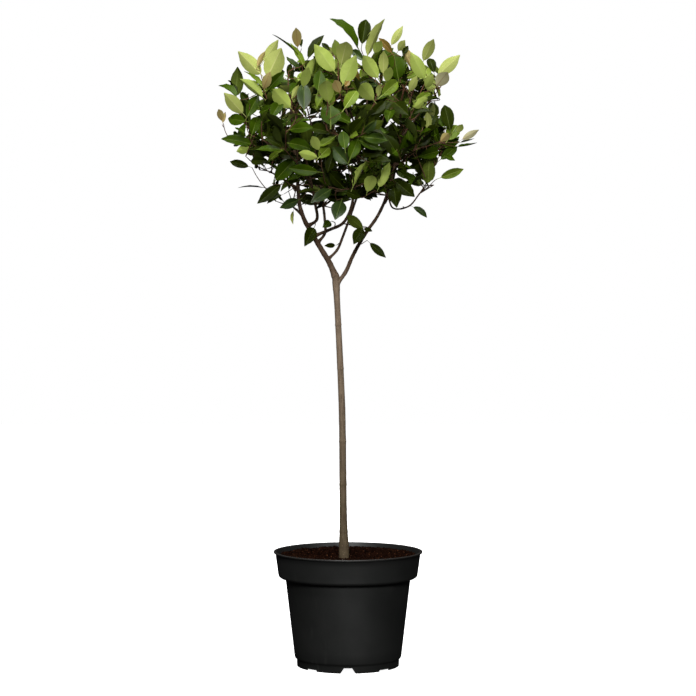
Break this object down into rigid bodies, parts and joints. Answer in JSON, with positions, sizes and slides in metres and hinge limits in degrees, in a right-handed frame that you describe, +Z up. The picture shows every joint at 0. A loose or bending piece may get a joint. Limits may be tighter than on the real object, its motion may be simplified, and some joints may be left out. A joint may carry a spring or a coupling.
{
  "type": "potted photinia standard",
  "caption": "Evergreen photinia grown as a standard: round leafy crown on a clear stem, in a black plastic nursery pot filled with compost.",
  "frame": {"origin": "centre of the pot's underside, on the ground", "axes": "+Z up along the stem; -Y is the front of the plant, +X its right as seen from the front"},
  "size_m": [0.459, 0.4482, 1.124],
  "materials": {
    "pot_plastic": "satin",
    "soil": "matte",
    "bark": "matte",
    "foliage": "satin"
  },
  "bodies": {
    "root": {"bough_left": "bark", "bough_right": "bark", "branch_back": "bark", "branch_back_left": "bark", "branch_back_low": "bark", "branch_back_right": "bark", "branch_front": "bark", "branch_front_high": "bark", "branch_front_left": "bark", "branch_front_low": "bark", "branch_front_right": "bark", "branch_front_right_high": "bark", "branch_left": "bark", "branch_left_high": "bark", "branch_left_low": "bark", "branch_left_skirt": "bark", "branch_middle_skirt": "bark", "branch_right": "bark", "branch_right_high": "bark", "branch_right_skirt": "bark", "branch_top_left": "bark", "leaves_back": "foliage", "leaves_back_left": "foliage", "leaves_back_left_high": "foliage", "leaves_back_low": "foliage", "leaves_back_right": "foliage", "leaves_back_right_high": "foliage", "leaves_front": "foliage", "leaves_front_high": "foliage", "leaves_front_left": "foliage", "leaves_front_left_high": "foliage", "leaves_front_low": "foliage", "leaves_front_right": "foliage", "leaves_front_right_high": "foliage", "leaves_left": "foliage", "leaves_left_high": "foliage", "leaves_left_low": "foliage", "leaves_left_skirt": "foliage", "leaves_left_top": "foliage", "leaves_middle_skirt": "foliage", "leaves_right": "foliage", "leaves_right_high": "foliage", "leaves_right_low": "foliage", "leaves_right_skirt": "foliage", "leaves_right_top": "foliage", "leaves_top": "foliage", "leaves_top_left": "foliage", "limb_back": "bark", "limb_centre": "bark", "limb_crossing": "bark", "limb_front": "bark", "limb_low_right": "bark", "pot": "pot_plastic", "soil": "soil", "spray_left": "foliage", "spray_low_right": "foliage", "spray_middle": "foliage", "spray_right": "foliage", "stem": "bark"}
  },
  "joints": []
}
